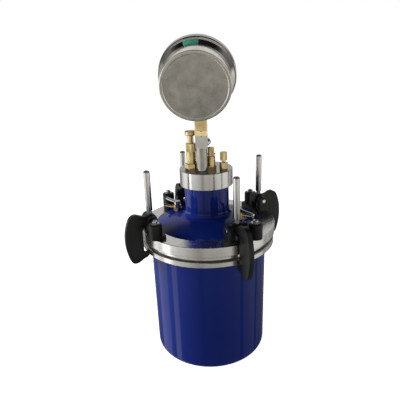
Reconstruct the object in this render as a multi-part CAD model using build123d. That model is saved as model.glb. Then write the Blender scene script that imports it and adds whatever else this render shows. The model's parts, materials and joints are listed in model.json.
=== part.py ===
from build123d import *
from math import cos, pi, radians, sin
import os

# Seven litre air-content meter: a bowl, a clamped lid with an air chamber, and a gauge on a post.
# Millimetres. The origin is the middle of the bowl's base, and +Z is up.
# Positions on the cap are (x, y) from the pot's axis; the gauge and its post stand at the -Y side.

# Bowl
bowl_inner_r = 101.5
bowl_outer_r = 106.0
bowl_base_r = 104.5
bowl_floor = 6.0
bowl_mouth_z = 222.0
bowl_base_round = 8.0
bowl_inner_round = 5.0
bowl_flange_r = 121.0
bowl_flange_z = 213.0
flange_round = 0.8

# Lid
seal_inner_r = 108.0
seal_outer_r = 114.0
lid_step_z = 224.5
lid_step_r = 116.0
lid_rim_z = 231.6
lid_rim_r = 122.5
lid_top_z = 249.2
seal_groove = 2.5
dome_r = 95.0
dome_under_z = 243.0
dome_crown = (68.0, 258.4)
dome_throat_r = 54.0
chamber_r = 40.0
chamber_inner_r = 34.0
chamber_foot_z = 264.5
chamber_fillet = 12.0
chamber_top_z = 337.5
floor_z = 254.5
floor_t = 6.0

# Cap
cap_r = 47.4
cap_skirt_z = 320.0
cap_under_z = 339.4
cap_top_z = 349.4
cap_seal_t = 1.8

# Gauge post and gauge
post_at = (-6.2, -28.0)
post_r = 9.5
post_spigot_r = 8.0
post_bore_r = 2.5
post_collar = (10.7, 3.0)
hexagon_turn = 30.0
coupling_z = 391.0
coupling_af = 20.8
nut_z = 411.6
nut_af = 21.5
socket_z = 420.0
socket_af = 21.5
socket_top_z = 454.0
gauge_entry = (-5.6, -28.0, 443.3)
gauge_tilt = 18.0
gauge_yaw = 3.4
gauge_lean = 5.0
case_r = 56.2
case_wall = 1.4
case_side = 30.0
case_flare = 9.0
case_mouth_r = 60.8
case_depth = 49.0
socket_depth = 20.0
bezel_r = 63.6
bezel_back = 45.4
bezel_front = 59.4
bezel_opening_r = 56.8
glass_w = 55.0
glass_t = 2.2
dial_w = 47.0
dial_r = 59.2
dial_t = 0.8
spindle_r = 1.2
pointer_w = 50.0
pointer_t = 0.8
pointer_zero = 225.0

# Valves and pump on the cap
main_valve_at = (-25.0, -12.0)
main_valve_af = 20.0
main_valve_hexagon_z = 361.0
main_valve_r = 8.5
main_valve_spigot_r = 7.0
main_valve_top_z = 392.0
bonnet_r = 9.5
bonnet_z = 382.0
bonnet_top_z = 396.0
bonnet_teeth = 40
button_r = 9.6
button_z = 409.6
button_top_z = 417.5
valve_rod_r = 3.0
valve_disc_r = 5.8
valve_disc_t = 4.0
valve_bore_r = 6.0
valve_spring_z = 364.2
valve_stem_z = 388.0
valve_stem_r = 5.2
spring_turns = 6
spring_wire_r = 0.55
spring_mean_r = 4.6
spring_end_gap = 0.2
bleeder_at = (9.5, -14.0)
bleeder_af = 15.0
bleeder_hexagon_z = 356.5
bleeder_r = 7.2
bleeder_spigot_r = 4.6
bleeder_screw_r = 3.6
bleeder_seat_z = 357.0
bleeder_z = 373.0
bleeder_knob_r = 5.8
bleeder_top_z = 388.2
bleeder_pin_r = 1.3
bleeder_pin_z = 376.8
bleeder_pin_length = 14.4
bleeder_pin_offset = 0.3
thumb_at = (30.8, -18.5)
thumb_af = 12.5
thumb_z = 362.5
thumb_spigot_r = 4.1
thumb_spigot_depth = 6.0
thumb_screw_r = 2.6
thumb_seat_z = 352.0
thumb_head_r = 6.5
thumb_head_z = 366.0
thumb_top_z = 380.2
pump_at = (-2.0, 18.0)
pump_bore_r = 7.5
pump_wall = 2.0
pump_port_r = 1.5
pump_foot_t = 4.0
pump_rod_r = 3.0
pump_foot_z = 268.0
gland_af = 24.0
gland_r = 8.5
gland_foot_z = 343.0
gland_hexagon_z = 358.0
gland_top_z = 364.0
piston_z = 273.5
piston_length = 9.0
piston_groove = (3.0, 6.0)
piston_groove_r = 6.3
pump_knob_r = 12.0
pump_knob_neck_r = 6.0
pump_knob_z = 384.0
pump_knob_flare = 5.0
pump_knob_length = 15.0
pump_knob_crown = 6.5
rod_socket = 4.0

# Petcocks on the dome
petcock_radius = 62.0
petcock_azimuths = {"right": -24.0, "left": 156.0}
petcock_shank_r = 5.0
petcock_shank_z = 246.0
petcock_af = 15.0
petcock_seat_z = 261.9
petcock_barrel_r = 7.2
petcock_barrel_z = 267.0
petcock_top_z = 272.0
petcock_inlet_r = 2.0
spout_r = 3.4
spout_bore_r = 1.9
spout_bead_r = 4.0
spout_bead_x = 24.0
spout_length = 25.0
plug_r = 4.5
plug_foot_z = 263.0
lever_gap = 0.4
lever_head_r = 5.8
lever_head_t = 7.2
lever_r = 3.0
lever_z = 276.0
lever_turn = -27.6
lever_length = 36.0

# Clamps
clamp_azimuths = {"front": 295.0, "left": 205.0, "rear": 115.0, "right": 25.0}
pivot_r = 110.0
pivot_z = 272.0
pin_r = 4.0
ear_spans = ((-19.5, -7.2), (7.2, 17.0))
pin_reach = (-20.6, 20.0)
screw_at = (112.5, 34.0)
boss_r = 11.5
boss_top_z = 276.0
washer_r = 7.5
washer_t = 1.2
screw_head_r = 4.4
screw_head_t = 5.0
screw_socket_r = 2.4
yoke_foot = (25.0, 64.0)
yoke_foot_t = 5.6
ear_w = 18.0
claw_t = 8.6
claw_hub_t = 13.6
claw_hub_r = 11.0
rod_r = 5.5
rod_neck_r = 4.2
rod_neck_z = 277.0
rod_neck_depth = 9.0
rod_shoulder_z = 288.0
rod_dome = 3.5
rod_top_z = 359.0

running_gap = 0.05
seat_gap = 0.1


def turned(points, closing_arc=None):
    """A solid of revolution about Z from (radius, height) points, closed by a line or an arc."""
    outline = Polyline(*points, close=closing_arc is None)
    if closing_arc:
        outline += ThreePointArc(points[-1], closing_arc, points[0])
    return revolve(Plane.XZ * make_face(outline), Axis.Z)


def round_edge(solid, radius, height, size):
    """Fillets the circular edges of a turned solid at one radius and height."""
    rims = [
        edge
        for edge in solid.edges().filter_by(GeomType.CIRCLE)
        if abs(edge.radius - radius) < 0.02 and abs(edge.center().Z - height) < 0.02
    ]
    return fillet(rims, size)


def rod(radius, low, high, at=(0, 0)):
    return Pos(at[0], at[1], low) * extrude(Circle(radius), high - low)


def tube(outer, inner, low, high, at=(0, 0)):
    return rod(outer, low, high, at) - rod(inner, low, high, at)


def hexagon(across_flats, low, high, at=(0, 0), turn=0):
    """A hexagon bar whose corners are turned off at both ends."""
    flats = RegularPolygon(across_flats / 2, 6, major_radius=False, rotation=turn)
    bar = Pos(at[0], at[1], low) * extrude(flats, high - low)
    corner = across_flats / 3 ** 0.5
    bevel = 0.35 * (corner - across_flats / 2)
    turned_bar = chamfer(rod(corner, low, high).edges().filter_by(GeomType.CIRCLE), bevel * 1.6)
    return bar & (Pos(at[0], at[1], 0) * turned_bar)


def knurled(radius, low, high, at=(0, 0), teeth=36, depth=0.45):
    """A round bar with straight V grooves."""
    ring = [
        (
            (radius - depth * (k % 2)) * cos(pi * k / teeth),
            (radius - depth * (k % 2)) * sin(pi * k / teeth),
        )
        for k in range(2 * teeth)
    ]
    return Pos(at[0], at[1], low) * extrude(make_face(Polyline(*ring, close=True)), high - low)


def at_azimuth(azimuth, shape):
    return Rot(0, 0, azimuth) * shape


# Bowl ---------------------------------------------------------------------------------------------

def bowl_shell():
    shell = turned([
        (0, 0), (bowl_base_r, 0), (bowl_outer_r, bowl_flange_z - 1), (bowl_outer_r, bowl_mouth_z),
        (bowl_inner_r, bowl_mouth_z), (bowl_inner_r, bowl_floor), (0, bowl_floor),
    ])
    shell = round_edge(shell, bowl_base_r, 0, bowl_base_round)
    shell = round_edge(shell, bowl_inner_r, bowl_floor, bowl_inner_round)
    return round_edge(shell, bowl_inner_r, bowl_mouth_z, 1)


def bowl_flange():
    inner = bowl_outer_r + running_gap
    ring = tube(bowl_flange_r, inner, bowl_flange_z, bowl_mouth_z)
    ring = round_edge(ring, bowl_flange_r, bowl_flange_z, flange_round)
    return round_edge(ring, bowl_flange_r, bowl_mouth_z, flange_round)


# Lid ----------------------------------------------------------------------------------------------

def lid_flange():
    inner = dome_r + seat_gap
    ring = turned([
        (inner, lid_step_z), (lid_step_r, lid_step_z), (lid_step_r, lid_rim_z),
        (lid_rim_r, lid_rim_z), (lid_rim_r, lid_top_z), (inner, lid_top_z),
    ])
    ring = round_edge(ring, lid_rim_r, lid_top_z, 1.0)
    ring = round_edge(ring, lid_rim_r, lid_rim_z, 1.0)
    return ring - tube(seal_outer_r, seal_inner_r, lid_step_z, lid_step_z + seal_groove)


def lid_seal():
    top_z = lid_step_z + seal_groove - seat_gap
    ring = tube(seal_outer_r - seat_gap, seal_inner_r + seat_gap, bowl_mouth_z + seat_gap, top_z)
    return round_edge(ring, seal_outer_r - seat_gap, bowl_mouth_z + seat_gap, 0.9)


def lid_dome():
    edge_z = lid_top_z - 0.2
    shell = turned(
        [
            (chamber_r, chamber_foot_z), (chamber_r, chamber_top_z), (chamber_inner_r, chamber_top_z),
            (chamber_inner_r, floor_z), (dome_throat_r, floor_z), (dome_r, dome_under_z), (dome_r, edge_z),
        ],
        closing_arc=dome_crown,
    )
    shell = round_edge(shell, chamber_r, chamber_foot_z, chamber_fillet)
    for azimuth in petcock_azimuths.values():
        hole = rod(petcock_shank_r + running_gap, dome_under_z, chamber_foot_z, (petcock_radius, 0))
        shell -= at_azimuth(azimuth, hole)
    return shell


def chamber_floor():
    disc = rod(chamber_inner_r - running_gap, floor_z, floor_z + floor_t)
    return disc - rod(valve_rod_r + 0.6, floor_z, floor_z + floor_t, main_valve_at)


def chamber_cap():
    cup = turned([
        (0, cap_under_z), (chamber_r + seat_gap, cap_under_z), (chamber_r + seat_gap, cap_skirt_z),
        (cap_r, cap_skirt_z), (cap_r, cap_top_z), (0, cap_top_z),
    ])
    cup = round_edge(cup, cap_r, cap_top_z, 1.4)
    cup = round_edge(cup, cap_r, cap_skirt_z, 0.8)
    bores = [
        (post_spigot_r, cap_under_z, post_at), (main_valve_spigot_r, cap_under_z, main_valve_at),
        (bleeder_spigot_r, cap_under_z, bleeder_at),
        (thumb_spigot_r, cap_top_z - thumb_spigot_depth, thumb_at),
        (pump_bore_r + pump_wall, cap_under_z, pump_at),
    ]
    for radius, low, at in bores:
        cup -= rod(radius + running_gap, low, cap_top_z, at)
    return cup


def cap_seal():
    return tube(chamber_r - 0.2, chamber_inner_r + 0.4, chamber_top_z, chamber_top_z + cap_seal_t)


# Gauge --------------------------------------------------------------------------------------------

def gauge_frame():
    """Local frame of the gauge: +Z leaves the dial, +Y is up the dial, the origin is the case's back."""
    tilt = radians(gauge_tilt)
    yaw = radians(gauge_yaw)
    entry = Plane(
        origin=gauge_entry,
        x_dir=(-cos(yaw), sin(yaw), 0),
        z_dir=(sin(yaw) * cos(tilt), cos(yaw) * cos(tilt), sin(tilt)),
    )
    return entry.location * Rot(0, 0, -gauge_lean) * Pos(0, case_r, -socket_depth)


def gauge_post():
    stem = rod(post_r, cap_top_z, coupling_z, post_at)
    foot = Pos(post_at[0], post_at[1], 0) * chamfer(
        rod(post_collar[0], cap_top_z, cap_top_z + post_collar[1]).edges().group_by(Axis.Z)[-1], 1.0
    )
    spigot = rod(post_spigot_r, cap_under_z, cap_top_z, post_at)
    return stem + foot + spigot - rod(post_bore_r, cap_under_z, coupling_z, post_at)


def post_coupling():
    bar = hexagon(coupling_af, coupling_z, nut_z, post_at, hexagon_turn)
    return bar - rod(post_bore_r, coupling_z, nut_z, post_at)


def gauge_nut():
    bar = hexagon(nut_af, nut_z, socket_z, post_at, hexagon_turn)
    return bar - rod(post_bore_r, nut_z, socket_z, post_at)


def socket_bar(size, high):
    return Pos(post_at[0], post_at[1], socket_z) * extrude(Rectangle(size, size), high - socket_z)


def gauge_socket():
    bar = chamfer(socket_bar(socket_af, socket_top_z).edges().filter_by(Axis.Z), 1.5)
    return bar - rod(post_bore_r, socket_z, socket_top_z - 6, post_at)


def gauge_case():
    """Spun cup with a creased back and a flared mouth."""
    outer = [
        (0, 0.6), (50.5, 0.6), (51.5, 0), (case_r, 0), (case_r, case_side),
        (case_mouth_r, case_side + case_flare), (case_mouth_r, case_depth),
    ]
    inner = [
        (case_mouth_r - case_wall, case_depth), (case_mouth_r - case_wall, case_side + case_flare + 0.6),
        (case_r - case_wall, case_side + 0.6), (case_r - case_wall, 2.2), (0, 2.2),
    ]
    cup = round_edge(turned(outer + inner), case_r, 0, 1.6)
    return gauge_frame() * cup - socket_bar(socket_af + 0.4, socket_top_z + 2)


def gauge_bezel():
    ring = turned([
        (case_mouth_r + seat_gap, bezel_back), (bezel_r - 1.2, bezel_back), (bezel_r, bezel_back + 1.4),
        (bezel_r, bezel_front - 1.8), (bezel_r - 1.8, bezel_front), (bezel_opening_r, bezel_front),
        (bezel_opening_r, glass_w + glass_t + seat_gap),
        (case_mouth_r + seat_gap, glass_w + glass_t + seat_gap),
    ])
    return gauge_frame() * ring


def gauge_glass():
    return gauge_frame() * rod(case_mouth_r, glass_w, glass_w + glass_t)


def glass_gasket():
    return gauge_frame() * tube(case_mouth_r, case_mouth_r - 2.2, case_depth + seat_gap, glass_w - seat_gap)


def gauge_dial():
    return gauge_frame() * tube(dial_r, 2.2, dial_w, dial_w + dial_t)


def gauge_pointer():
    """Tapered needle with a counterweight, at rest on the dial's zero."""
    tail, tip = -18, 49
    needle = Polyline((tail, -3), (0, -1.6), (tip, -0.5), (tip, 0.5), (0, 1.6), (tail, 3), close=True)
    arm = extrude(make_face(needle), pointer_t) + tube(4.2, spindle_r, -0.6, 1.8)
    arm -= rod(spindle_r, -0.6, 1.8)
    return gauge_frame() * Rot(0, 0, pointer_zero) * Pos(0, 0, pointer_w) * arm


def pointer_spindle():
    return gauge_frame() * rod(spindle_r, 22, pointer_w + 2.2)


def gauge_movement():
    """Two brass plates on four pillars, with the sector between them."""
    plate = Rectangle(30, 24)
    frame = Pos(0, 0, 24) * extrude(plate, 1.6) + Pos(0, 0, 36) * extrude(plate, 1.6)
    for x in (-12, 12):
        for y in (-9, 9):
            frame += rod(1.6, 24, 37, (x, y))
    frame += rod(13.8, 29, 30.5)
    return gauge_frame() * (frame - rod(spindle_r + running_gap, 20, 40))


def bourdon_tube():
    """Flattened tube bent three quarters of a turn, from the socket to its free end."""
    section = Pos(36, 20) * RectangleRounded(3.2, 10, 1.4)
    coil = revolve(Plane.XZ * section, Axis.Z, 250)
    return gauge_frame() * Rot(0, 0, -75) * coil


# Main air valve -----------------------------------------------------------------------------------

def main_valve_body():
    body = hexagon(main_valve_af, cap_top_z, main_valve_hexagon_z, main_valve_at)
    body += rod(main_valve_r, main_valve_hexagon_z, main_valve_top_z, main_valve_at)
    body += rod(main_valve_spigot_r, cap_under_z, cap_top_z, main_valve_at)
    body -= rod(valve_rod_r + running_gap, cap_under_z, main_valve_top_z, main_valve_at)
    return body - rod(valve_bore_r, valve_spring_z - spring_end_gap, main_valve_top_z, main_valve_at)


def main_valve_bonnet():
    cap = knurled(bonnet_r, bonnet_z, bonnet_top_z, main_valve_at, teeth=bonnet_teeth)
    cap -= rod(main_valve_r + seat_gap, bonnet_z, main_valve_top_z + seat_gap, main_valve_at)
    return cap - rod(valve_stem_r + running_gap, main_valve_top_z, bonnet_top_z, main_valve_at)


def main_valve_button():
    head = fillet(rod(button_r, button_z, button_top_z).edges().filter_by(GeomType.CIRCLE), 1.6)
    stem = rod(valve_stem_r, valve_stem_z, button_z + 0.4)
    return Pos(main_valve_at[0], main_valve_at[1], 0) * (head + stem)


def main_valve_rod():
    return rod(valve_rod_r, floor_z - seat_gap, valve_stem_z, main_valve_at)


def main_valve_disc():
    return rod(valve_disc_r, floor_z - valve_disc_t, floor_z - seat_gap, main_valve_at)


def main_valve_spring():
    """Open coil around the rod, between the body's shoulder and the stem."""
    pitch = (valve_stem_z - valve_spring_z - 2 * (spring_wire_r + spring_end_gap)) / spring_turns
    path = Helix(pitch, pitch * spring_turns, spring_mean_r)
    section = Plane(origin=path @ 0, z_dir=path % 0) * Circle(spring_wire_r)
    coil = sweep(section, path, is_frenet=True)
    foot_z = valve_spring_z + spring_wire_r + spring_end_gap
    return Pos(main_valve_at[0], main_valve_at[1], foot_z) * coil


# Bleeder and thumb valve --------------------------------------------------------------------------

def bleeder_body():
    body = hexagon(bleeder_af, cap_top_z, bleeder_hexagon_z, bleeder_at)
    body += rod(bleeder_r, bleeder_hexagon_z, bleeder_z, bleeder_at)
    body += rod(bleeder_spigot_r, cap_under_z, cap_top_z, bleeder_at)
    return body - rod(bleeder_screw_r, bleeder_seat_z, bleeder_z, bleeder_at)


def bleeder_knob():
    knob = knurled(bleeder_knob_r, bleeder_z + 0.4, bleeder_top_z, teeth=28, depth=0.35)
    knob += rod(bleeder_screw_r - running_gap, bleeder_seat_z + 0.5, bleeder_z + 0.4)
    knob -= Pos(0, 0, bleeder_pin_z) * Rot(0, 90, 0) * Cylinder(bleeder_pin_r, 3 * bleeder_knob_r)
    return Pos(bleeder_at[0], bleeder_at[1], 0) * knob


def bleeder_pin():
    pin = Rot(0, 90, 0) * Cylinder(bleeder_pin_r, bleeder_pin_length)
    return Pos(bleeder_at[0] + bleeder_pin_offset, bleeder_at[1], bleeder_pin_z) * pin


def thumb_valve_body():
    body = hexagon(thumb_af, cap_top_z, thumb_z, thumb_at)
    body += rod(thumb_spigot_r, cap_top_z - thumb_spigot_depth, cap_top_z, thumb_at)
    return body - rod(thumb_screw_r, thumb_seat_z, thumb_z, thumb_at)


def thumb_valve_screw():
    head = knurled(thumb_head_r, thumb_head_z, thumb_top_z, thumb_at, teeth=30, depth=0.4)
    return head + rod(thumb_screw_r - running_gap, thumb_seat_z + 0.5, thumb_head_z + 0.5, thumb_at)


# Hand pump ----------------------------------------------------------------------------------------

def pump_barrel():
    barrel = tube(pump_bore_r + pump_wall, pump_bore_r, pump_foot_z, cap_top_z, pump_at)
    return barrel + tube(pump_bore_r + 1, pump_port_r, pump_foot_z, pump_foot_z + pump_foot_t, pump_at)


def pump_gland():
    nut = hexagon(gland_af, cap_top_z, gland_hexagon_z, pump_at)
    nut += rod(gland_r, gland_hexagon_z, gland_top_z, pump_at)
    nut += rod(pump_bore_r - running_gap, gland_foot_z, cap_top_z, pump_at)
    return nut - rod(pump_rod_r + running_gap, gland_foot_z, gland_top_z, pump_at)


def pump_piston():
    body = rod(pump_bore_r - 0.08, piston_z, piston_z + piston_length, pump_at)
    low, high = piston_groove
    return body - tube(pump_bore_r, piston_groove_r, piston_z + low, piston_z + high, pump_at)


def piston_seal():
    low, high = piston_z + piston_groove[0] + seat_gap, piston_z + piston_groove[1] - seat_gap
    return tube(pump_bore_r - 0.03, piston_groove_r + running_gap, low, high, pump_at)


def pump_rod():
    return rod(pump_rod_r, piston_z + piston_length, pump_knob_z + rod_socket, pump_at)


def pump_knob():
    """Mushroom knob with a rounded crown."""
    flare_z = pump_knob_z + pump_knob_flare
    crown_z = pump_knob_z + pump_knob_length
    knob = turned([
        (0, pump_knob_z), (pump_knob_neck_r, pump_knob_z), (pump_knob_r, flare_z),
        (pump_knob_r, crown_z), (0, crown_z),
    ])
    knob = round_edge(knob, pump_knob_r, crown_z, pump_knob_crown)
    knob = round_edge(knob, pump_knob_r, flare_z, 1.5)
    knob -= rod(pump_rod_r, pump_knob_z, pump_knob_z + rod_socket)
    return Pos(pump_at[0], pump_at[1], 0) * knob


# Petcocks -----------------------------------------------------------------------------------------

def petcock_body(azimuth):
    """Stub through the dome, hexagon, round barrel and a hose spout that points outwards."""
    body = rod(petcock_shank_r, petcock_shank_z, petcock_seat_z)
    body += hexagon(petcock_af, petcock_seat_z, petcock_barrel_z)
    body += rod(petcock_barrel_r, petcock_barrel_z, petcock_top_z)
    spout = Pos(0, 0, petcock_barrel_z) * Rot(0, 90, 0)
    bead = Pos(spout_bead_x, 0, petcock_barrel_z) * Rot(0, 90, 0)
    body += spout * extrude(Circle(spout_r), spout_length)
    body += bead * extrude(Circle(spout_bead_r), 2)
    body -= rod(petcock_inlet_r, petcock_shank_z, plug_foot_z + 1)
    body -= spout * extrude(Circle(spout_bore_r), spout_length + 2)
    body -= rod(plug_r, plug_foot_z, petcock_top_z)
    return at_azimuth(azimuth, Pos(petcock_radius, 0, 0) * body)


def petcock_lever(azimuth):
    """Turning plug, its round head, and the bar that turns it."""
    head_z = petcock_top_z + lever_gap
    plug = rod(plug_r - running_gap, plug_foot_z + 0.2, head_z)
    head = chamfer(rod(lever_head_r, head_z, head_z + lever_head_t).edges().filter_by(GeomType.CIRCLE), 0.8)
    bar = Pos(0, 0, lever_z) * Rot(0, 90, 0) * extrude(Circle(lever_r), lever_length)
    bar = fillet(bar.edges().filter_by(GeomType.CIRCLE).sort_by(Axis.X)[-1], 1.4)
    lever = Rot(0, 0, lever_turn) * (plug + head + bar)
    return at_azimuth(azimuth, Pos(petcock_radius, 0, 0) * lever)


# Clamps, drawn at azimuth 0: X is outwards, Y is along the rim -----------------------------------

def across(radius, left, right, x, z):
    """A round bar along Y."""
    return Pos(x, left, z) * Rot(-90, 0, 0) * extrude(Circle(radius), right - left)


def clamp_yoke():
    """Foot on the lid's rim with two uneven ears for the pin and one tall boss for the screw."""
    foot = Pos(pivot_r - 1, 12, lid_top_z) * extrude(RectangleRounded(*yoke_foot, 4), yoke_foot_t)
    foot &= tube(lid_rim_r - 1, dome_r + 1, lid_top_z, lid_top_z + yoke_foot_t)
    for left, right in ear_spans:
        web = extrude(Rectangle(ear_w, right - left), pivot_z - lid_top_z)
        foot += Pos(pivot_r, (left + right) / 2, lid_top_z) * web
        foot += across(ear_w / 2, left, right, pivot_r, pivot_z)
    boss = rod(boss_r, lid_top_z, boss_top_z, screw_at)
    foot += fillet(boss.edges().group_by(Axis.Z)[-1], 2.5)
    return foot - across(pin_r + running_gap, pin_reach[0], pin_reach[1], pivot_r, pivot_z)


def clamp_screw():
    """Socket-head screw with a washer on the boss."""
    washer = rod(washer_r, boss_top_z, boss_top_z + washer_t, screw_at)
    head = rod(screw_head_r, boss_top_z, boss_top_z + screw_head_t, screw_at)
    socket = extrude(RegularPolygon(screw_socket_r, 6), screw_head_t)
    hole = Pos(screw_at[0], screw_at[1], boss_top_z + screw_head_t / 2) * socket
    return washer + head - hole


def clamp_pin():
    pin = across(pin_r, pin_reach[0], pin_reach[1], pivot_r, pivot_z)
    return chamfer(pin.edges().filter_by(GeomType.CIRCLE), 0.8)


def clamp_claw():
    """Plate hung from the pin: down outside the rims, then in under the bowl's flange.

    The toe's upper face falls away inwards, so it leaves the flange as soon as the claw swings out.
    """
    toe = [
        (pivot_r + 3, pivot_z - 9), (122, 262), (126, 255), (126, 216), (124.5, 213.2), (121.6, 212.3),
        (117.2, 209.6), (117.2, 206.5), (121, 203.6),
    ]
    back = [
        (121, 203.6), (130, 199.8), (138.5, 195.6), (146.5, 196.6), (152.3, 207), (155.8, 222), (157, 240),
        (155.6, 256), (151, 272), (145, 282), (137, 284.6), (129, 282), (pivot_r + 8, pivot_z + 8),
    ]
    outline = Polyline(*toe) + Spline(*back) + Line(back[-1], toe[0])
    plate = Pos(0, claw_t / 2, 0) * extrude(Plane.XZ * make_face(outline), claw_t)
    claw = plate + across(claw_hub_r, -claw_hub_t / 2, claw_hub_t / 2, pivot_r, pivot_z)
    claw -= across(pin_r + running_gap, -claw_hub_t, claw_hub_t, pivot_r, pivot_z)
    return claw - rod(rod_neck_r + running_gap, rod_neck_z, rod_neck_z + rod_neck_depth, (pivot_r, 0))


def clamp_rod():
    """Handle rod screwed into the hub, with a domed end."""
    shaft = rod(rod_neck_r, rod_neck_z + 0.2, rod_shoulder_z) + rod(rod_r, rod_shoulder_z, rod_top_z)
    shaft = round_edge(shaft, rod_r, rod_top_z, rod_dome)
    return Pos(pivot_r, 0, 0) * round_edge(shaft, rod_r, rod_shoulder_z, 1.0)


def four_times(make):
    return [at_azimuth(azimuth, make()) for azimuth in clamp_azimuths.values()]


nodes = {
    "bowl_shell": bowl_shell(),
    "bowl_flange": bowl_flange(),
    "lid_flange": lid_flange(),
    "lid_seal": lid_seal(),
    "lid_dome": lid_dome(),
    "chamber_floor": chamber_floor(),
    "chamber_cap": chamber_cap(),
    "cap_seal": cap_seal(),
    "gauge_post": gauge_post(),
    "post_coupling": post_coupling(),
    "gauge_nut": gauge_nut(),
    "gauge_socket": gauge_socket(),
    "gauge_case": gauge_case(),
    "gauge_bezel": gauge_bezel(),
    "gauge_glass": gauge_glass(),
    "glass_gasket": glass_gasket(),
    "gauge_dial": gauge_dial(),
    "gauge_pointer": gauge_pointer(),
    "pointer_spindle": pointer_spindle(),
    "gauge_movement": gauge_movement(),
    "bourdon_tube": bourdon_tube(),
    "main_valve_body": main_valve_body(),
    "main_valve_bonnet": main_valve_bonnet(),
    "main_valve_button": main_valve_button(),
    "main_valve_rod": main_valve_rod(),
    "main_valve_disc": main_valve_disc(),
    "main_valve_spring": main_valve_spring(),
    "bleeder_body": bleeder_body(),
    "bleeder_knob": bleeder_knob(),
    "bleeder_pin": bleeder_pin(),
    "thumb_valve_body": thumb_valve_body(),
    "thumb_valve_screw": thumb_valve_screw(),
    "pump_barrel": pump_barrel(),
    "pump_gland": pump_gland(),
    "pump_piston": pump_piston(),
    "piston_seal": piston_seal(),
    "pump_rod": pump_rod(),
    "pump_knob": pump_knob(),
    "petcock_bodies": Compound([petcock_body(azimuth) for azimuth in petcock_azimuths.values()]),
    "clamp_yokes": Compound(four_times(clamp_yoke)),
    "clamp_pins": Compound(four_times(clamp_pin)),
    "clamp_screws": Compound(four_times(clamp_screw)),
}
for side, azimuth in petcock_azimuths.items():
    nodes[f"petcock_lever_{side}"] = petcock_lever(azimuth)
for place, azimuth in clamp_azimuths.items():
    nodes[f"clamp_claw_{place}"] = at_azimuth(azimuth, clamp_claw())
    nodes[f"clamp_rod_{place}"] = at_azimuth(azimuth, clamp_rod())

os.makedirs("parts", exist_ok=True)
for name, shape in nodes.items():
    export_step(shape, f"parts/{name}.step")
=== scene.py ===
import json
import math

import bmesh
import bpy
import numpy as np
from mathutils import Matrix, Vector, noise


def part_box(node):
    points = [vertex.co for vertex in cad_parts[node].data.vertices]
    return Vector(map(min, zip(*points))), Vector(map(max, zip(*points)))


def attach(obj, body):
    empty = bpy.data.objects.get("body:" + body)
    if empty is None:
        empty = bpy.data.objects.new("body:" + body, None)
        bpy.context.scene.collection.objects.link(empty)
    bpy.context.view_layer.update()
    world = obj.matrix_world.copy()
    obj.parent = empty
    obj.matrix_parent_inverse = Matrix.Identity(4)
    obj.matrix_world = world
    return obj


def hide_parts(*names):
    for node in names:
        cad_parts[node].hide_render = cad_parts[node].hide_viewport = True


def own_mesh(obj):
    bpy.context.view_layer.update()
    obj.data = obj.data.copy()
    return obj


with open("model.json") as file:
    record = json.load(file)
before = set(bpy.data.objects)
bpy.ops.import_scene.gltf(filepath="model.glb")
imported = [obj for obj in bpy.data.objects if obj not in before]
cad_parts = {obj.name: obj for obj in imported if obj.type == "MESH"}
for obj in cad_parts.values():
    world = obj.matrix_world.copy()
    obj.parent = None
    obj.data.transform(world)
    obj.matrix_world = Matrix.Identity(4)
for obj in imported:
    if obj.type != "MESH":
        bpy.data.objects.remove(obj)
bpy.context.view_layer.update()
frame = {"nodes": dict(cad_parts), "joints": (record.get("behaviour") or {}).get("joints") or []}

nodes = frame["nodes"]
scene = bpy.context.scene

MM = 0.001
CLAMPS = ("front", "left", "rear", "right")
SMOOTH_ANGLE = math.radians(32)
SHARP_ANGLE = math.radians(38)


# Materials ----------------------------------------------------------------------------------------

def new_material(name):
    material = bpy.data.materials.new(name)
    material.use_nodes = True
    tree = material.node_tree
    tree.nodes.clear()
    shader = tree.nodes.new("ShaderNodeBsdfPrincipled")
    output = tree.nodes.new("ShaderNodeOutputMaterial")
    tree.links.new(shader.outputs[0], output.inputs[0])
    return material, tree, shader


def object_position(tree, centre=(0, 0, 0), axis=(0, 0, 1)):
    """Position in millimetres about a centre, turned so that Z runs along the axis."""
    coords = tree.nodes.new("ShaderNodeTexCoord")
    mapping = tree.nodes.new("ShaderNodeMapping")
    mapping.vector_type = "TEXTURE"
    mapping.inputs["Location"].default_value = centre
    mapping.inputs["Rotation"].default_value = Vector(axis).to_track_quat("Z", "Y").to_euler()
    mapping.inputs["Scale"].default_value = (MM, MM, MM)
    tree.links.new(coords.outputs["Object"], mapping.inputs["Vector"])
    return mapping.outputs["Vector"]


def noise_on(tree, vector, scale, detail=3.0, rough=0.5):
    node = tree.nodes.new("ShaderNodeTexNoise")
    node.inputs["Scale"].default_value = scale
    node.inputs["Detail"].default_value = detail
    node.inputs["Roughness"].default_value = rough
    tree.links.new(vector, node.inputs["Vector"])
    return node.outputs["Fac"]


def spread(tree, value, low, high, from_low=0.3, from_high=0.7):
    node = tree.nodes.new("ShaderNodeMapRange")
    node.inputs["From Min"].default_value = from_low
    node.inputs["From Max"].default_value = from_high
    node.inputs["To Min"].default_value = low
    node.inputs["To Max"].default_value = high
    tree.links.new(value, node.inputs["Value"])
    return node.outputs["Result"]


def blend_colours(tree, factor, first, second):
    node = tree.nodes.new("ShaderNodeMix")
    node.data_type = "RGBA"
    node.inputs[6].default_value = (*first, 1)
    node.inputs[7].default_value = (*second, 1)
    tree.links.new(factor, node.inputs[0])
    return node.outputs[2]


def bump(tree, shader, height, strength, distance, before=None):
    node = tree.nodes.new("ShaderNodeBump")
    node.inputs["Strength"].default_value = strength
    node.inputs["Distance"].default_value = distance
    tree.links.new(height, node.inputs["Height"])
    if before is not None:
        tree.links.new(before, node.inputs["Normal"])
    tree.links.new(node.outputs["Normal"], shader.inputs["Normal"])
    return node.outputs["Normal"]


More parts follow.
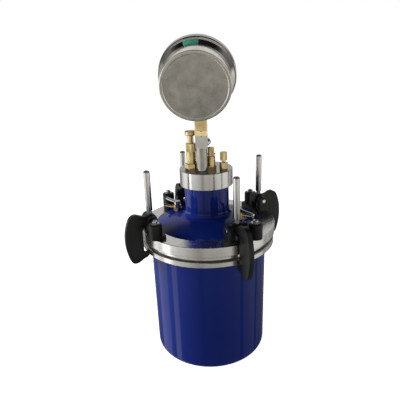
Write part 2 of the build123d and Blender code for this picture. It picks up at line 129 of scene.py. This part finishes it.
def lathe_rings(tree, position, per_mm):
    """Noise that changes only with height and with distance from the axis: the marks of a tool."""
    split = tree.nodes.new("ShaderNodeSeparateXYZ")
    tree.links.new(position, split.inputs[0])
    flat = tree.nodes.new("ShaderNodeCombineXYZ")
    tree.links.new(split.outputs[0], flat.inputs[0])
    tree.links.new(split.outputs[1], flat.inputs[1])
    radius = tree.nodes.new("ShaderNodeVectorMath")
    radius.operation = "LENGTH"
    tree.links.new(flat.outputs[0], radius.inputs[0])
    pair = tree.nodes.new("ShaderNodeCombineXYZ")
    tree.links.new(radius.outputs["Value"], pair.inputs[0])
    tree.links.new(split.outputs[2], pair.inputs[1])
    return noise_on(tree, pair.outputs[0], per_mm, 2.0, 0.6)


def metal(name, colour, stain, rough, centre=(0, 0, 0), axis=(0, 0, 1), rings=0.0, rings_per_mm=1.6,
          patches=0.02, anisotropic=0.0, grain=0.0, grain_per_mm=0.8, dents=0.0, dents_per_mm=0.05):
    """A bare or plated metal: stained patches, uneven polish, turning marks and shallow waves."""
    material, tree, shader = new_material(name)
    position = object_position(tree, centre, axis)
    cloud = noise_on(tree, position, patches, 5.0, 0.6)
    tree.links.new(blend_colours(tree, spread(tree, cloud, 0, 1), stain, colour), shader.inputs["Base Color"])
    shader.inputs["Metallic"].default_value = 1.0
    shader.inputs["Anisotropic"].default_value = anisotropic
    smudge = noise_on(tree, position, patches * 4, 4.0, 0.6)
    tree.links.new(spread(tree, smudge, rough * 0.75, rough * 1.35), shader.inputs["Roughness"])
    normal = None
    if rings:
        normal = bump(tree, shader, lathe_rings(tree, position, rings_per_mm), rings, 0.00012)
    if grain:
        normal = bump(tree, shader, noise_on(tree, position, grain_per_mm, 4.0, 0.6), grain, 0.0003, normal)
    if dents:
        bump(tree, shader, noise_on(tree, position, dents_per_mm, 1.0, 0.4), dents, 0.0012, normal)
    return material


def paint(name, colour, other, rough, orange_peel=0.0, specular=0.5):
    """A painted surface, with orange peel, faint colour drift and uneven gloss."""
    material, tree, shader = new_material(name)
    position = object_position(tree)
    cloud = noise_on(tree, position, 0.02, 4.0, 0.6)
    tree.links.new(blend_colours(tree, spread(tree, cloud, 0, 1), colour, other), shader.inputs["Base Color"])
    shader.inputs["Specular IOR Level"].default_value = specular
    smudge = noise_on(tree, position, 0.1, 5.0, 0.65)
    tree.links.new(spread(tree, smudge, rough * 0.8, rough * 1.3), shader.inputs["Roughness"])
    if orange_peel:
        bump(tree, shader, noise_on(tree, position, 0.12, 2.0, 0.5), orange_peel, 0.0006)
    return material


def casting(name, colour, other, rough):
    """Black enamel over a sand casting: pitted, and rubbed paler in patches."""
    material, tree, shader = new_material(name)
    position = object_position(tree)
    cloud = noise_on(tree, position, 0.12, 5.0, 0.65)
    rubbed = spread(tree, cloud, 0, 1, 0.42, 0.75)
    tree.links.new(blend_colours(tree, rubbed, colour, other), shader.inputs["Base Color"])
    tree.links.new(spread(tree, cloud, rough * 0.8, rough * 1.25), shader.inputs["Roughness"])
    shader.inputs["Specular IOR Level"].default_value = 0.3
    coarse = bump(tree, shader, noise_on(tree, position, 0.22, 4.0, 0.6), 0.35, 0.0012)
    bump(tree, shader, noise_on(tree, position, 1.1, 3.0, 0.6), 0.25, 0.0004, coarse)
    return material


def rubber(name, colour, other):
    material, tree, shader = new_material(name)
    position = object_position(tree)
    cloud = noise_on(tree, position, 0.08, 4.0, 0.6)
    tree.links.new(blend_colours(tree, spread(tree, cloud, 0, 1), colour, other), shader.inputs["Base Color"])
    tree.links.new(spread(tree, cloud, 0.5, 0.75), shader.inputs["Roughness"])
    bump(tree, shader, noise_on(tree, position, 0.9, 3.0, 0.6), 0.2, 0.0003)
    return material


def clear_glass(name):
    material, tree, shader = new_material(name)
    position = object_position(tree)
    smudge = noise_on(tree, position, 0.06, 4.0, 0.6)
    shader.inputs["Base Color"].default_value = (0.96, 0.98, 0.98, 1)
    shader.inputs["Transmission Weight"].default_value = 1.0
    shader.inputs["IOR"].default_value = 1.45
    tree.links.new(spread(tree, smudge, 0.0, 0.05), shader.inputs["Roughness"])
    return material


def paper(name, colour, other, rough):
    material, tree, shader = new_material(name)
    position = object_position(tree)
    cloud = noise_on(tree, position, 0.3, 5.0, 0.6)
    tree.links.new(blend_colours(tree, spread(tree, cloud, 0, 1), colour, other), shader.inputs["Base Color"])
    shader.inputs["Roughness"].default_value = rough
    bump(tree, shader, noise_on(tree, position, 1.5, 3.0, 0.6), 0.08, 0.0002)
    return material


def middle(node):
    low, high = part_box(node)
    return (low + high) / 2


def wear(node, material):
    """Gives a CAD node's object its material."""
    data = nodes[node].data
    data.materials.clear()
    data.materials.append(material)


BRASS, BRASS_STAIN = (0.72, 0.58, 0.32), (0.47, 0.35, 0.16)
NICKEL, NICKEL_STAIN = (0.34, 0.335, 0.30), (0.27, 0.265, 0.235)
CHROME, CHROME_STAIN = (0.53, 0.52, 0.50), (0.43, 0.42, 0.40)
ALUMINIUM, ALUMINIUM_STAIN = (0.80, 0.79, 0.75), (0.70, 0.69, 0.645)
STAINLESS, STAINLESS_STAIN = (0.86, 0.83, 0.74), (0.82, 0.79, 0.70)

blue = paint("blue_enamel", (0.007, 0.023, 0.205), (0.008, 0.021, 0.188), 0.05,
             orange_peel=0.04, specular=0.20)
aluminium = metal("machined_aluminium", ALUMINIUM, ALUMINIUM_STAIN, 0.22, dents=0.02)
chrome = metal("chrome_plate", CHROME, CHROME_STAIN, 0.09, dents=0.05)
black_iron = casting("black_iron", (0.006, 0.007, 0.007), (0.013, 0.013, 0.012), 0.38)
black_rubber = rubber("black_rubber", (0.012, 0.012, 0.012), (0.022, 0.022, 0.023))
steel = metal("plain_steel", (0.52, 0.52, 0.52), (0.38, 0.38, 0.38), 0.25)
glass = clear_glass("gauge_glass_clear")
dial_white = paint("dial_white", (0.80, 0.80, 0.77), (0.76, 0.76, 0.73), 0.45)
print_black = paint("print_black", (0.010, 0.010, 0.011), (0.016, 0.016, 0.017), 0.5)
inner_brass = metal("inner_brass", BRASS, BRASS_STAIN, 0.22, patches=0.08, grain=0.15)

gauge_joint = next(joint for joint in frame["joints"] if joint["name"] == "pointer_sweep")
gauge_back = Vector(gauge_joint["pos_m"])
gauge_out = -Vector(gauge_joint["axis"]).normalized()


def spun_case():
    """Satin on the flat back, polished from the rim onwards."""
    material = metal("spun_stainless", STAINLESS, STAINLESS_STAIN, 0.38, gauge_back, gauge_out, rings=0.03,
                     rings_per_mm=0.3, patches=0.012)
    tree = material.node_tree
    shader = next(node for node in tree.nodes if node.type == "BSDF_PRINCIPLED")
    split = tree.nodes.new("ShaderNodeSeparateXYZ")
    tree.links.new(object_position(tree, gauge_back, gauge_out), split.inputs[0])
    satin = shader.inputs["Roughness"].links[0].from_socket
    mix = tree.nodes.new("ShaderNodeMix")
    tree.links.new(spread(tree, split.outputs[2], 0, 1, 0.3, 1.8), mix.inputs[0])
    tree.links.new(satin, mix.inputs[2])
    mix.inputs[3].default_value = 0.11
    tree.links.new(mix.outputs[0], shader.inputs["Roughness"])
    return material


stainless = spun_case()
stainless_bezel = metal("polished_bezel", (0.55, 0.54, 0.52), (0.42, 0.41, 0.39), 0.18, gauge_back, gauge_out,
                        rings=0.2, anisotropic=0.4)


def turned_brass(node):
    return metal(f"brass_{node}", BRASS, BRASS_STAIN, 0.13, middle(node), rings=0.18, rings_per_mm=2.2,
                 patches=0.09)


def turned_chrome(node):
    return metal(f"chrome_{node}", CHROME, CHROME_STAIN, 0.12, middle(node), rings=0.3, rings_per_mm=2.0,
                 patches=0.06)


for node in ("bowl_shell", "lid_dome"):
    wear(node, blue)
for node in ("bowl_flange", "lid_flange", "chamber_floor"):
    wear(node, aluminium)
for node in ("lid_seal", "cap_seal", "glass_gasket", "piston_seal", "main_valve_disc"):
    wear(node, black_rubber)
for node in ("clamp_pins", "clamp_screws", "petcock_lever_right", "petcock_lever_left"):
    wear(node, chrome)
for node in ("pump_gland", "pump_knob", "pump_rod"):
    wear(node, turned_chrome(node))
for node in ("gauge_post", "post_coupling"):
    wear(node, metal(f"nickel_{node}", NICKEL, NICKEL_STAIN, 0.05, middle(node), rings=0.05, patches=0.06))
for node in ("gauge_nut", "gauge_socket", "main_valve_body", "main_valve_bonnet", "main_valve_button",
             "main_valve_rod", "bleeder_body", "bleeder_knob", "bleeder_pin", "thumb_valve_body",
             "thumb_valve_screw", "pump_barrel", "pump_piston"):
    wear(node, turned_brass(node))
for node in ("gauge_movement", "bourdon_tube", "petcock_bodies"):
    wear(node, inner_brass)
for node in ("pointer_spindle", "main_valve_spring"):
    wear(node, steel)
wear("chamber_cap", metal("cap_chrome", CHROME, CHROME_STAIN, 0.13, middle("chamber_cap"), rings=0.25))
wear("gauge_case", stainless)
wear("gauge_bezel", stainless_bezel)
wear("gauge_glass", glass)
wear("gauge_dial", dial_white)
wear("gauge_pointer", print_black)
wear("clamp_yokes", black_iron)
for place in CLAMPS:
    wear(f"clamp_claw_{place}", black_iron)
    wear(f"clamp_rod_{place}", chrome)


# Pieces -------------------------------------------------------------------------------------------

def piece(name, bm, material, body, slot, *stands_for):
    """Makes an object from a bmesh in the row frame and ties it to its body."""
    bmesh.ops.recalc_face_normals(bm, faces=bm.faces)
    mesh = bpy.data.meshes.new(name)
    for edge in bm.edges:
        edge.smooth = len(edge.link_faces) == 2 and edge.calc_face_angle() < SMOOTH_ANGLE
    for face in bm.faces:
        face.smooth = True
    bm.to_mesh(mesh)
    bm.free()
    mesh.materials.append(material)
    made = bpy.data.objects.new(name, mesh)
    scene.collection.objects.link(made)
    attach(made, body)
    if stands_for:
        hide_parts(*stands_for)
    return made


def eased(node, width, segments, material, body, slot):
    """A casting with the CAD node's form, its edges rounded as a mould leaves them."""
    bm = bmesh.new()
    bm.from_mesh(nodes[node].data)
    bmesh.ops.remove_doubles(bm, verts=bm.verts, dist=0.00002)
    bmesh.ops.dissolve_limit(bm, angle_limit=math.radians(1.0), verts=bm.verts, edges=bm.edges)
    sharp = [edge for edge in bm.edges if len(edge.link_faces) == 2 and edge.calc_face_angle() > SHARP_ANGLE]
    bmesh.ops.bevel(bm, geom=sharp, offset=width, segments=segments, profile=0.5, affect="EDGES",
                    clamp_overlap=True)
    bmesh.ops.triangulate(bm, faces=[face for face in bm.faces if len(face.verts) > 4])
    return piece(f"cast_{node}", bm, material, body, slot, node)


def spun(rows, around=48, centre=(0, 0)):
    """A closed turned solid from (height, radius function of the angle) rows."""
    bm = bmesh.new()
    rings = []
    for height, radius in rows:
        ring = []
        for k in range(around):
            angle = 2 * math.pi * k / around
            x = centre[0] + radius(angle) * math.cos(angle)
            y = centre[1] + radius(angle) * math.sin(angle)
            ring.append(bm.verts.new((x, y, height)))
        rings.append(ring)
    for lower, upper in zip(rings, rings[1:]):
        for k in range(around):
            after = (k + 1) % around
            bm.faces.new((lower[k], lower[after], upper[after], upper[k]))
    bm.faces.new(rings[0][::-1])
    bm.faces.new(rings[-1])
    return bm


def threaded_rod(place):
    """Handle rod: a screwed neck, a shoulder, a plain shank and a domed end."""
    node = f"clamp_rod_{place}"
    low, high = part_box(node)
    centre = ((low.x + high.x) / 2, (low.y + high.y) / 2)
    rod_r = (high.x - low.x) / 2
    neck_r = rod_r - 1.3 * MM
    neck_top = low.z + 10.8 * MM
    pitch, depth, steps_per_turn = 1.25 * MM, 0.38 * MM, 6
    shoulder, dome = 0.9 * MM, 3.5 * MM

    def thread(height):
        def radius(angle):
            turn = (height / pitch - angle / (2 * math.pi)) % 1.0
            return neck_r - depth * (1 - abs(2 * turn - 1))
        return radius

    def plain(value):
        return lambda angle: value

    rows = [(low.z, plain(neck_r - depth))]
    step = pitch / steps_per_turn
    for k in range(int((neck_top - low.z) / step) - 1):
        height = low.z + (k + 1) * step
        rows.append((height, thread(height)))
    rows += [(neck_top, plain(neck_r - depth)), (neck_top, plain(rod_r - shoulder))]
    for k in range(1, 5):
        turn = math.pi / 2 * k / 4
        radius = rod_r - shoulder * (1 - math.sin(turn))
        rows.append((neck_top + shoulder * (1 - math.cos(turn)), plain(radius)))
    for k in range(9):
        turn = math.pi / 2 * k / 8
        radius = rod_r - dome * (1 - math.cos(turn))
        rows.append((high.z - dome * (1 - math.sin(turn)), plain(radius)))
    bm = spun(rows, centre=centre)
    return piece(f"handle_rod_{place}", bm, chrome, f"clamp_{place}", "chrome", node)


ZERO_ANGLE, SWEEP = 225.0, 270.0
TICK_R, ARC_R, NUMBER_R = 52 * MM, 52.7 * MM, 38 * MM
NUMBERS, DIVISIONS, NUMBER_HEIGHT = 10, 100, 9 * MM
INK, INK_GAP = 0.12 * MM, 0.01 * MM


def dial_frame():
    """Matrix of the dial: origin on the gauge's axis at its back, +Z out of the dial, +Y up the dial."""
    pointer = np.array([vertex.co for vertex in nodes["gauge_pointer"].data.vertices])
    across = pointer - np.array(gauge_back)
    across -= np.outer(across @ np.array(gauge_out), np.array(gauge_out))
    zero = Vector(across[np.argmax(np.linalg.norm(across, axis=1))]).normalized()
    x_axis = Matrix.Rotation(-math.radians(ZERO_ANGLE), 3, gauge_out) @ zero
    y_axis = gauge_out.cross(x_axis)
    turn = Matrix((x_axis, y_axis, gauge_out)).transposed().to_4x4()
    return Matrix.Translation(gauge_back) @ turn


def dial_print():
    """Scale of the dial: an arc, ticks and generic numbers, raised by the thickness of the ink."""
    place = dial_frame()
    axis_back = place.inverted()
    face = max((axis_back @ vertex.co).z for vertex in nodes["gauge_dial"].data.vertices)
    bm = bmesh.new()

    def block(corners):
        base = [bm.verts.new(place @ Vector((x, y, face + INK_GAP))) for x, y in corners]
        top = [bm.verts.new(place @ Vector((x, y, face + INK))) for x, y in corners]
        bm.faces.new(base[::-1])
        bm.faces.new(top)
        for k in range(len(corners)):
            after = (k + 1) % len(corners)
            bm.faces.new((base[k], base[after], top[after], top[k]))

    def tick(angle, inner, outer, width):
        c, s = math.cos(math.radians(angle)), math.sin(math.radians(angle))
        half = width / 2
        block([(inner * c + half * s, inner * s - half * c), (outer * c + half * s, outer * s - half * c),
               (outer * c - half * s, outer * s + half * c), (inner * c - half * s, inner * s + half * c)])

    for k in range(DIVISIONS + 1):
        angle = ZERO_ANGLE - SWEEP * k / DIVISIONS
        if k % 10 == 0:
            tick(angle, 44 * MM, TICK_R, 0.9 * MM)
        elif k % 5 == 0:
            tick(angle, 47 * MM, TICK_R, 0.6 * MM)
        else:
            tick(angle, 49 * MM, TICK_R, 0.35 * MM)
        if k < DIVISIONS:
            following = ZERO_ANGLE - SWEEP * (k + 1) / DIVISIONS
            start, end = ((math.cos(math.radians(a)), math.sin(math.radians(a))) for a in (angle, following))
            block([(ARC_R * start[0], ARC_R * start[1]), (TICK_R * start[0], TICK_R * start[1]),
                   (TICK_R * end[0], TICK_R * end[1]), (ARC_R * end[0], ARC_R * end[1])])
    for number in range(NUMBERS + 1):
        angle = math.radians(ZERO_ANGLE - SWEEP * number / NUMBERS)
        text = bpy.data.curves.new("number", "FONT")
        text.body = str(number)
        text.size = NUMBER_HEIGHT
        text.align_x, text.align_y = "CENTER", "CENTER"
        text.extrude = INK / 2
        holder = bpy.data.objects.new("number", text)
        scene.collection.objects.link(holder)
        bpy.context.view_layer.update()
        shown = holder.evaluated_get(bpy.context.evaluated_depsgraph_get())
        outline = bpy.data.meshes.new_from_object(shown)
        centre = Vector((NUMBER_R * math.cos(angle), NUMBER_R * math.sin(angle), face + INK / 2 + INK_GAP))
        outline.transform(place @ Matrix.Translation(centre))
        bm.from_mesh(outline)
        bpy.data.objects.remove(holder)
        bpy.data.meshes.remove(outline)
        bpy.data.curves.remove(text)
    bmesh.ops.remove_doubles(bm, verts=bm.verts, dist=0.000001)
    return piece("dial_print", bm, print_black, "lid", "pointer_black")


def blank_sticker():
    """Green paper sticker without print, pressed over the flare of the gauge's case."""
    place = dial_frame()
    clearance, wrinkle, thickness, ragged = 0.22, 0.16, 0.12, 1.2
    profile = [(56.25, 30.2), (57.3, 32.2), (58.5, 34.5), (59.6, 36.7), (60.6, 38.6), (60.8, 40.2)]
    first, last, columns = 78.5, 101.5, 22
    top, base = [], []
    bm = bmesh.new()
    for row, (radius, depth) in enumerate(profile):
        top_row, base_row = [], []
        for column in range(columns + 1):
            degrees = first + (last - first) * column / columns
            if column in (0, columns):
                degrees += ragged * noise.noise(Vector((row * 0.9, column * 0.5, 0.0)))
            angle = math.radians(degrees)
            lift = clearance + wrinkle * noise.noise(Vector((row * 0.8, column * 0.45, 3.0)))
            for offset, rows in ((lift + thickness, top_row), (lift, base_row)):
                r = (radius + offset) * MM
                point = Vector((r * math.cos(angle), r * math.sin(angle), depth * MM))
                rows.append(bm.verts.new(place @ point))
        top.append(top_row)
        base.append(base_row)
    for k in range(len(profile) - 1):
        for j in range(columns):
            bm.faces.new((top[k][j], top[k][j + 1], top[k + 1][j + 1], top[k + 1][j]))
            bm.faces.new((base[k][j], base[k + 1][j], base[k + 1][j + 1], base[k][j + 1]))
    for k in range(len(profile) - 1):
        bm.faces.new((top[k][0], top[k + 1][0], base[k + 1][0], base[k][0]))
        bm.faces.new((top[k][-1], base[k][-1], base[k + 1][-1], top[k + 1][-1]))
    for j in range(columns):
        bm.faces.new((top[0][j], base[0][j], base[0][j + 1], top[0][j + 1]))
        bm.faces.new((top[-1][j], top[-1][j + 1], base[-1][j + 1], base[-1][j]))
    green = paper("sticker_green", (0.03, 0.33, 0.22), (0.16, 0.50, 0.38), 0.32)
    return piece("sticker", bm, green, "lid", None)


def valve_spring():
    """The main valve's spring as a piece with a mesh of its own; the real spring shortens by the button's
    travel.
    """
    bm = bmesh.new()
    bm.from_mesh(nodes["main_valve_spring"].data)
    coil = piece("spring_coil", bm, steel, "lid", "steel", "main_valve_spring")
    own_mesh(coil)


def seal_lip():
    """The lip of the lid's seal that shows in the gap between the two flanges; its grey-brown is painted
    light, copying the dimly lit machined step in the groove.
    """
    mouth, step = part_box("lid_seal")[0].z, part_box("lid_flange")[0].z
    foot, top = mouth + 0.1 * MM, step - 0.1 * MM
    inner, outer = 114.1 * MM, 116.3 * MM
    around, uneven = 180, 0.25 * MM
    bm = bmesh.new()
    outline = [(inner, foot), (outer - 0.5 * MM, foot), (outer, foot + 0.6 * MM), (outer, top - 0.6 * MM),
               (outer - 0.5 * MM, top), (inner, top)]
    rings = []
    for k in range(around):
        angle = 2 * math.pi * k / around
        squeeze = uneven * noise.noise(Vector((4 * math.cos(angle), 4 * math.sin(angle), 1.0)))
        rings.append([bm.verts.new(((r + squeeze) * math.cos(angle), (r + squeeze) * math.sin(angle), z))
                      for r, z in outline])
    for k in range(around):
        ring, following = rings[k], rings[(k + 1) % around]
        for j in range(len(outline)):
            after = (j + 1) % len(outline)
            bm.faces.new((ring[j], ring[after], following[after], following[j]))
    # Grey-brown painted light in the groove: the look of the dimly lit machined step, not the black of the
    # seal's rubber.
    grey = rubber("seal_painted_groove_light", (0.115, 0.105, 0.090), (0.16, 0.15, 0.13))
    return piece("seal_lip", bm, grey, "lid", "rubber_black")


valve_spring()
seal_lip()
for place in CLAMPS:
    eased(f"clamp_claw_{place}", 1.5 * MM, 3, black_iron, f"clamp_{place}", "black_iron")
    threaded_rod(place)
eased("clamp_yokes", 1.1 * MM, 2, black_iron, "lid", "black_iron")
dial_print()
blank_sticker()


# Studio -------------------------------------------------------------------------------------------

def ramp(tree, value, stops):
    """A colour ramp over a direction component that runs from -1 to 1."""
    node = tree.nodes.new("ShaderNodeValToRGB")
    elements = node.color_ramp.elements
    while len(elements) < len(stops):
        elements.new(0.5)
    for element, (place, colour) in zip(elements, stops):
        element.position = (place + 1) / 2
        element.color = (*colour, 1)
    tree.links.new(spread(tree, value, 0, 1, -1, 1), node.inputs[0])
    return node.outputs["Color"]


def mix_colours(tree, mode, factor, first, second):
    node = tree.nodes.new("ShaderNodeMix")
    node.data_type = "RGBA"
    node.blend_type = mode
    for socket, value in ((0, factor), (6, first), (7, second)):
        if isinstance(value, (int, float)):
            node.inputs[socket].default_value = value
        else:
            tree.links.new(value, node.inputs[socket])
    return node.outputs[2]


def grey(tree, value):
    node = tree.nodes.new("ShaderNodeRGB")
    node.outputs[0].default_value = (value, value, value, 1)
    return node.outputs[0]


ROOM_LEVEL = 1.25


def studio_world():
    """A room with a bright window wall on the left, pale walls behind, and a dark ceiling."""
    world = bpy.data.worlds.new("studio")
    scene.world = world
    world.use_nodes = True
    tree = world.node_tree
    tree.nodes.clear()
    coords = tree.nodes.new("ShaderNodeTexCoord")
    split = tree.nodes.new("ShaderNodeSeparateXYZ")
    tree.links.new(coords.outputs["Generated"], split.inputs[0])
    level = tree.nodes.new("ShaderNodeCombineXYZ")
    tree.links.new(split.outputs[0], level.inputs[0])
    tree.links.new(split.outputs[1], level.inputs[1])
    heading = tree.nodes.new("ShaderNodeVectorMath")
    heading.operation = "NORMALIZE"
    tree.links.new(level.outputs[0], heading.inputs[0])
    bearing = tree.nodes.new("ShaderNodeSeparateXYZ")
    tree.links.new(heading.outputs[0], bearing.inputs[0])

    walls = ramp(tree, bearing.outputs[0], [
        (-0.97, (1.0, 1.0, 1.0)), (-0.75, (0.86, 0.86, 0.85)), (-0.45, (0.66, 0.645, 0.62)),
        (-0.30, (0.40, 0.39, 0.37)), (-0.22, (0.40, 0.39, 0.37)), (-0.12, (0.62, 0.60, 0.57)),
        (0.30, (0.60, 0.575, 0.54)), (0.70, (0.80, 0.78, 0.76)), (0.90, (1.0, 0.99, 0.97)),
        (0.92, (0.30, 0.30, 0.28)), (0.945, (0.30, 0.30, 0.28)), (0.96, (1.0, 0.99, 0.97)),
    ])
    depth = ramp(tree, bearing.outputs[1], [(0.1, (1, 1, 1)), (0.6, (0.45, 0.45, 0.46))])
    below = ramp(tree, split.outputs[2], [
        (-0.62, (0.20, 0.20, 0.20)), (-0.45, (0.50, 0.50, 0.50)), (-0.25, (1, 1, 1)), (-0.05, (1, 1, 1)),
        (0.1, (0, 0, 0)),
    ])
    low = mix_colours(tree, "MULTIPLY", 1.0, mix_colours(tree, "MULTIPLY", 1.0, walls, depth), below)
    low = mix_colours(tree, "MULTIPLY", 1.0, low, grey(tree, ROOM_LEVEL))
    high = ramp(tree, split.outputs[2], [
        (-0.05, (0, 0, 0)), (0.12, (0.50, 0.50, 0.50)), (0.55, (0.70, 0.69, 0.70)),
        (0.68, (0.20, 0.20, 0.21)), (0.80, (0.035, 0.035, 0.04)),
    ])
    behind = ramp(tree, bearing.outputs[1], [
        (-0.3, (0.5, 0.5, 0.5)), (0.0, (0.22, 0.22, 0.23)), (0.55, (0.22, 0.22, 0.23)), (0.85, (1, 1, 1)),
    ])
    high = mix_colours(tree, "MULTIPLY", 1.0, high, behind)
    panes = ramp(tree, bearing.outputs[1], [
        (-0.39, (0, 0, 0)), (-0.36, (1, 1, 1)), (-0.17, (1, 1, 1)), (-0.14, (0, 0, 0)),
        (0.06, (0, 0, 0)), (0.10, (0.45, 0.45, 0.45)), (0.55, (0.45, 0.45, 0.45)), (0.65, (0, 0, 0)),
    ])
    left_only = ramp(tree, bearing.outputs[0], [(-0.2, (1.2, 1.2, 1.2)), (-0.1, (0, 0, 0))])
    not_high = ramp(tree, split.outputs[2], [(0.05, (1, 1, 1)), (0.25, (0, 0, 0))])
    left_panes = mix_colours(tree, "MULTIPLY", 1.0, panes, left_only)
    window = mix_colours(tree, "MULTIPLY", 1.0, left_panes, not_high)
    room_colour = mix_colours(tree, "ADD", 1.0, mix_colours(tree, "ADD", 1.0, low, high), window)

    room = tree.nodes.new("ShaderNodeBackground")
    tree.links.new(room_colour, room.inputs["Color"])
    white = tree.nodes.new("ShaderNodeBackground")
    white.inputs["Color"].default_value = (1, 1, 1, 1)
    path = tree.nodes.new("ShaderNodeLightPath")
    mix = tree.nodes.new("ShaderNodeMixShader")
    tree.links.new(path.outputs["Is Camera Ray"], mix.inputs[0])
    tree.links.new(room.outputs[0], mix.inputs[1])
    tree.links.new(white.outputs[0], mix.inputs[2])
    output = tree.nodes.new("ShaderNodeOutputWorld")
    tree.links.new(mix.outputs[0], output.inputs[0])


def softbox(name, where, target, width, height, power, colour):
    """A soft lamp that lights the object but isn't mirrored in it."""
    data = bpy.data.lights.new(name, "AREA")
    data.shape = "RECTANGLE"
    data.size, data.size_y = width, height
    data.energy = power
    data.color = colour
    lamp = bpy.data.objects.new(name, data)
    lamp.location = where
    lamp.rotation_mode = "QUATERNION"
    lamp.rotation_quaternion = (Vector(target) - Vector(where)).to_track_quat("-Z", "Y")
    lamp.visible_camera = False
    lamp.visible_glossy = False
    scene.collection.objects.link(lamp)


def floor():
    size = 6.0
    corners = [(-size, -size, 0), (size, -size, 0), (size, size, 0), (-size, size, 0)]
    mesh = bpy.data.meshes.new("floor")
    mesh.from_pydata(corners, [], [(0, 1, 2, 3)])
    plane = bpy.data.objects.new("floor", mesh)
    scene.collection.objects.link(plane)
    material, tree, shader = new_material("floor_pale")
    position = object_position(tree)
    cloud = noise_on(tree, position, 0.01, 3.0, 0.5)
    pale = blend_colours(tree, cloud, (0.72, 0.72, 0.72), (0.75, 0.75, 0.75))
    tree.links.new(pale, shader.inputs["Base Color"])
    shader.inputs["Roughness"].default_value = 0.9
    shader.inputs["Specular IOR Level"].default_value = 0.1
    shader.inputs["Emission Color"].default_value = (1, 1, 1, 1)
    shader.inputs["Emission Strength"].default_value = 0.98
    mesh.materials.append(material)
    plane.visible_glossy = False
    plane.visible_diffuse = False
    plane.visible_shadow = False


def camera():
    """Viewpoint at the height of the gauge, looking down on the pot."""
    distance, height = 0.7053, 0.5307
    yaw, pitch, roll = -0.018, 0.331, -0.036
    sensor, focal_share = 36.0, 408.2 / 400
    forward = Vector((math.sin(yaw) * math.cos(pitch), math.cos(yaw) * math.cos(pitch), -math.sin(pitch)))
    level = Vector((math.cos(yaw), -math.sin(yaw), 0))
    upright = level.cross(forward)
    right = math.cos(roll) * level + math.sin(roll) * upright
    up = -math.sin(roll) * level + math.cos(roll) * upright
    data = bpy.data.cameras.new("camera")
    data.sensor_width = sensor
    data.lens = sensor * focal_share
    data.clip_start, data.clip_end = 0.01, 50
    cam = bpy.data.objects.new("camera", data)
    turn = Matrix((right, up, -forward)).transposed().to_4x4()
    cam.matrix_world = Matrix.Translation((0, -distance, height)) @ turn
    scene.collection.objects.link(cam)
    scene.camera = cam


scene.view_settings.view_transform = "Standard"
studio_world()
softbox("window_left", (-1.8, 0.10, 0.9), (0, 0, 0.25), 0.6, 1.4, 37, (1.0, 0.99, 0.97))
floor()
camera()
